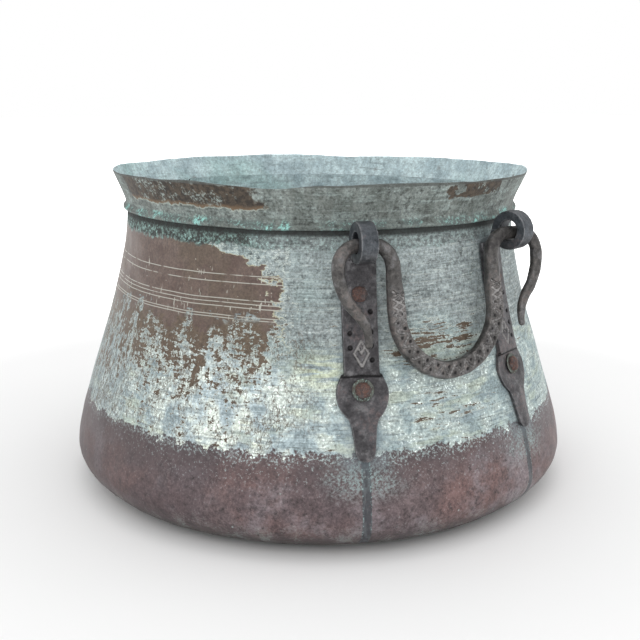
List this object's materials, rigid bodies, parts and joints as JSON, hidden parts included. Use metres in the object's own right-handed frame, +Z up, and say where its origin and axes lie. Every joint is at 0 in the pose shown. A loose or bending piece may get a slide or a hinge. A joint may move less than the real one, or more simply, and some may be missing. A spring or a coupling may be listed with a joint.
{
  "type": "alembic still boiler pot",
  "caption": "Wide low copper cauldron of a still, with a flared neck collar and two forged drop handles hung in riveted iron straps with rolled eyes.",
  "frame": {"origin": "middle of the flat base, on the surface the pot stands on", "axes": "+Z up through the mouth; -Y is the front, where the front handle hangs; +X is to the right seen from the front"},
  "size_m": [0.6998, 0.7, 0.428],
  "materials": {
    "base_copper": "reddish brown copper, dull",
    "wall_copper": "grey-green patina worn through to brown copper",
    "collar_copper": "dull grey-green patina",
    "strap_iron": "forged, dark brown-black",
    "handle_iron": "forged, hammered, worn lighter at the edges",
    "rivet_iron": "rusted",
    "washer_copper": "tarnished",
    "rove_copper": "tarnished"
  },
  "bodies": {
    "pot": {"bottom_pan": "base_copper", "wall_sheet_front": "wall_copper", "wall_sheet_right": "wall_copper", "wall_sheet_back": "wall_copper", "wall_sheet_left": "wall_copper", "collar": "collar_copper", "strap_front_left": "strap_iron", "strap_front_right": "strap_iron", "strap_back_left": "strap_iron", "strap_back_right": "strap_iron", "upper_rivet_front_left": "rivet_iron", "upper_rivet_front_right": "rivet_iron", "upper_rivet_back_left": "rivet_iron", "upper_rivet_back_right": "rivet_iron", "lower_rivet_front_left": "rivet_iron", "lower_rivet_front_right": "rivet_iron", "lower_rivet_back_left": "rivet_iron", "lower_rivet_back_right": "rivet_iron", "washer_front_left": "washer_copper", "washer_front_right": "washer_copper", "washer_back_left": "washer_copper", "washer_back_right": "washer_copper", "upper_rove_front_left": "rove_copper", "upper_rove_front_right": "rove_copper", "upper_rove_back_left": "rove_copper", "upper_rove_back_right": "rove_copper", "lower_rove_front_left": "rove_copper", "lower_rove_front_right": "rove_copper", "lower_rove_back_left": "rove_copper", "lower_rove_back_right": "rove_copper"},
    "front_handle": {"handle_front": "handle_iron"},
    "back_handle": {"handle_back": "handle_iron"}
  },
  "joints": [
    {"name": "front_handle_swing", "type": "hinge", "parent": "pot", "child": "front_handle", "pos_m": [0, -0.28381, 0.36424], "axis": [-1, 0, 0], "range_deg": [0, 158]},
    {"name": "back_handle_swing", "type": "hinge", "parent": "pot", "child": "back_handle", "pos_m": [0, 0.28381, 0.36424], "axis": [1, 0, 0], "range_deg": [0, 158]}
  ]
}
